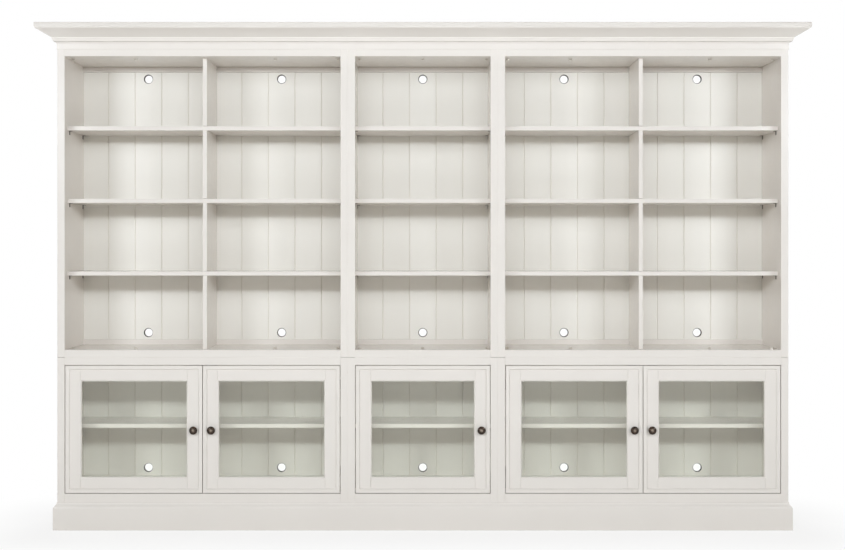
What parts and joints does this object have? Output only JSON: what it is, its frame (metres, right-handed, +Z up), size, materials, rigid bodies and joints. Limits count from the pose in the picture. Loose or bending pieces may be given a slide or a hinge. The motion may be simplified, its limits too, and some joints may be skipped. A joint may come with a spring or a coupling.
{
  "type": "display bookcase",
  "caption": "White painted wall unit with glazed cabinets below and open shelving hutches above, grooved backs, crown and skirting.",
  "frame": {"origin": "on the floor, under the middle of the box round the whole piece", "axes": "+Z up, +X along the width to the viewer's right, the front with the doors faces -Y"},
  "size_m": [3.478, 0.451, 2.286],
  "materials": {
    "white_painted_wood": "satin paint",
    "painted_beadboard": "satin paint",
    "clear_glass": "clear",
    "dark_bronze": "oil-rubbed dark bronze",
    "nickel_plate": "nickel plate",
    "white_plastic": "matte moulded"
  },
  "bodies": {
    "bookcase": {"left_base_sides": "white_painted_wood", "left_base_floor_and_top": "white_painted_wood", "left_base_back": "painted_beadboard", "left_base_face_frame": "white_painted_wood", "left_base_shelves": "white_painted_wood", "left_hutch_sides": "white_painted_wood", "left_hutch_floor_and_ceiling": "white_painted_wood", "left_hutch_back": "painted_beadboard", "left_hutch_face_frame": "white_painted_wood", "left_hutch_shelves": "white_painted_wood", "left_hutch_divider": "white_painted_wood", "centre_base_sides": "white_painted_wood", "centre_base_floor_and_top": "white_painted_wood", "centre_base_back": "painted_beadboard", "centre_base_face_frame": "white_painted_wood", "centre_base_shelves": "white_painted_wood", "centre_hutch_sides": "white_painted_wood", "centre_hutch_floor_and_ceiling": "white_painted_wood", "centre_hutch_back": "painted_beadboard", "centre_hutch_face_frame": "white_painted_wood", "centre_hutch_shelves": "white_painted_wood", "right_base_sides": "white_painted_wood", "right_base_floor_and_top": "white_painted_wood", "right_base_back": "painted_beadboard", "right_base_face_frame": "white_painted_wood", "right_base_shelves": "white_painted_wood", "right_hutch_sides": "white_painted_wood", "right_hutch_floor_and_ceiling": "white_painted_wood", "right_hutch_back": "painted_beadboard", "right_hutch_face_frame": "white_painted_wood", "right_hutch_shelves": "white_painted_wood", "right_hutch_divider": "white_painted_wood", "hutch_back_strips": "white_painted_wood", "shelf_brackets": "dark_bronze", "joining_bolts": "nickel_plate", "crown": "white_painted_wood", "crown_top_board_and_rails": "white_painted_wood", "skirting": "white_painted_wood", "hinge_arms": "nickel_plate", "door_catches": "white_plastic"},
    "left_outer_door": {"left_outer_door_frame": "white_painted_wood", "left_outer_door_glass": "clear_glass", "left_outer_door_knob": "dark_bronze", "left_outer_door_fittings": "nickel_plate"},
    "left_inner_door": {"left_inner_door_frame": "white_painted_wood", "left_inner_door_glass": "clear_glass", "left_inner_door_knob": "dark_bronze", "left_inner_door_fittings": "nickel_plate"},
    "centre_door": {"centre_door_frame": "white_painted_wood", "centre_door_glass": "clear_glass", "centre_door_knob": "dark_bronze", "centre_door_fittings": "nickel_plate"},
    "right_inner_door": {"right_inner_door_frame": "white_painted_wood", "right_inner_door_glass": "clear_glass", "right_inner_door_knob": "dark_bronze", "right_inner_door_fittings": "nickel_plate"},
    "right_outer_door": {"right_outer_door_frame": "white_painted_wood", "right_outer_door_glass": "clear_glass", "right_outer_door_knob": "dark_bronze", "right_outer_door_fittings": "nickel_plate"}
  },
  "joints": [
    {"name": "left_outer_door_hinge", "type": "hinge", "parent": "bookcase", "child": "left_outer_door", "pos_m": [-1.6215, -0.1425, 0.4545], "axis": [0, 0, -1], "range_deg": [0, 90]},
    {"name": "left_inner_door_hinge", "type": "hinge", "parent": "bookcase", "child": "left_inner_door", "pos_m": [-0.3745, -0.1425, 0.4545], "axis": [0, 0, 1], "range_deg": [0, 90]},
    {"name": "centre_door_hinge", "type": "hinge", "parent": "bookcase", "child": "centre_door", "pos_m": [-0.3055, -0.1425, 0.4545], "axis": [0, 0, -1], "range_deg": [0, 90]},
    {"name": "right_inner_door_hinge", "type": "hinge", "parent": "bookcase", "child": "right_inner_door", "pos_m": [0.3745, -0.1425, 0.4545], "axis": [0, 0, -1], "range_deg": [0, 90]},
    {"name": "right_outer_door_hinge", "type": "hinge", "parent": "bookcase", "child": "right_outer_door", "pos_m": [1.6215, -0.1425, 0.4545], "axis": [0, 0, 1], "range_deg": [0, 90]}
  ]
}
